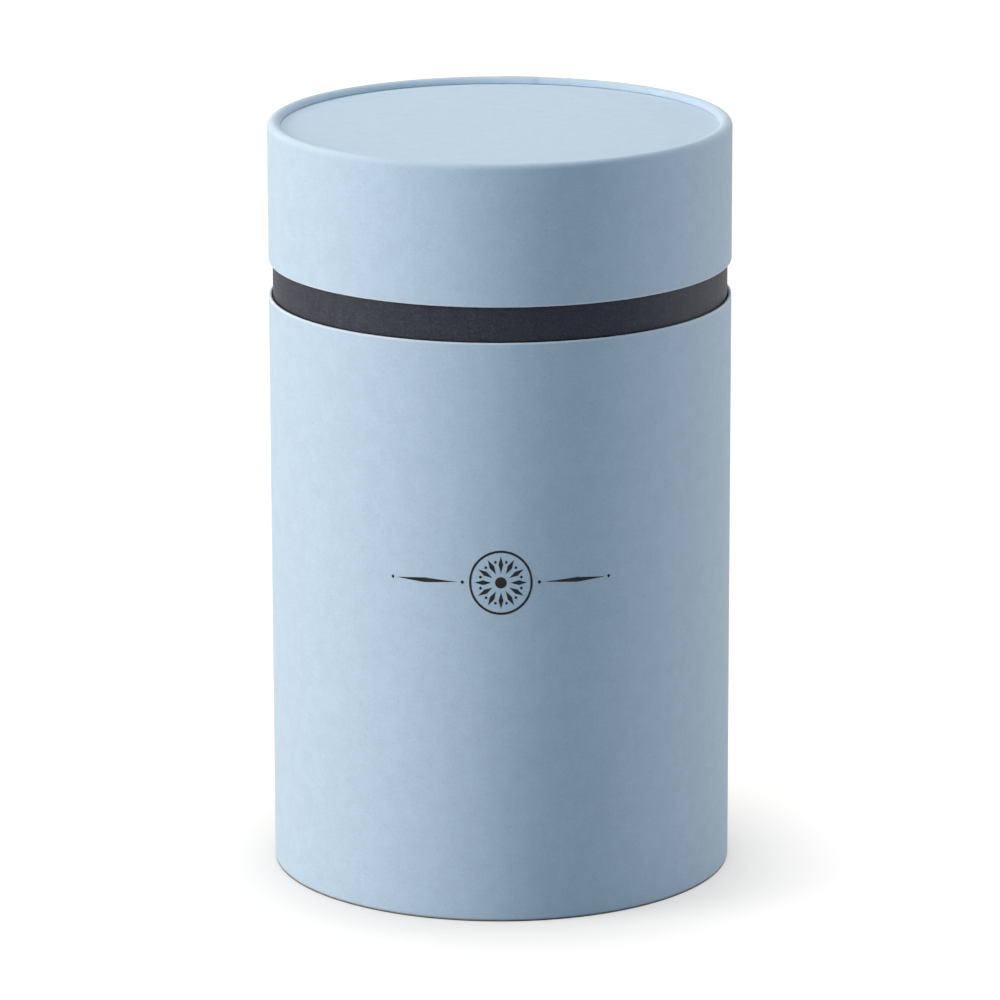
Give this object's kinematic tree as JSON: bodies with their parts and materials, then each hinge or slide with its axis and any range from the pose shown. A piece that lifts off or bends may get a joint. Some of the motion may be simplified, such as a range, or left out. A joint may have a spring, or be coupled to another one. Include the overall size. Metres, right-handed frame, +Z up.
{
  "type": "cylindrical gift tube box",
  "caption": "Paper-covered round gift tube box with a lift-off lid, a rolled top rim and a dark neck band showing between lid and base.",
  "frame": {"origin": "centre of the underside, on the surface the box stands on", "axes": "+Z up along the tube's axis, towards the lid; -Y is the front"},
  "size_m": [0.12, 0.12, 0.1976],
  "materials": {
    "cover_paper": "matte light blue, fine mottled grain",
    "neck_paper": "matte charcoal, fine speckled grain",
    "board": "raw wound greyboard"
  },
  "bodies": {
    "base": {"base_tube": "board", "base_wrap": "cover_paper", "base_bottom_disc": "board", "base_bottom_paper": "cover_paper", "neck_tube": "board", "neck_wrap": "neck_paper", "neck_lining": "neck_paper", "floor_paper": "neck_paper"},
    "lid": {"lid_tube": "board", "lid_wrap": "cover_paper", "lid_top_disc": "board", "lid_top_paper": "cover_paper", "lid_ceiling_paper": "neck_paper"}
  },
  "joints": [
    {"name": "lid_lift", "type": "slide", "parent": "base", "child": "lid", "axis": [0, 0, 1], "range_m": [0, 0.05]}
  ]
}
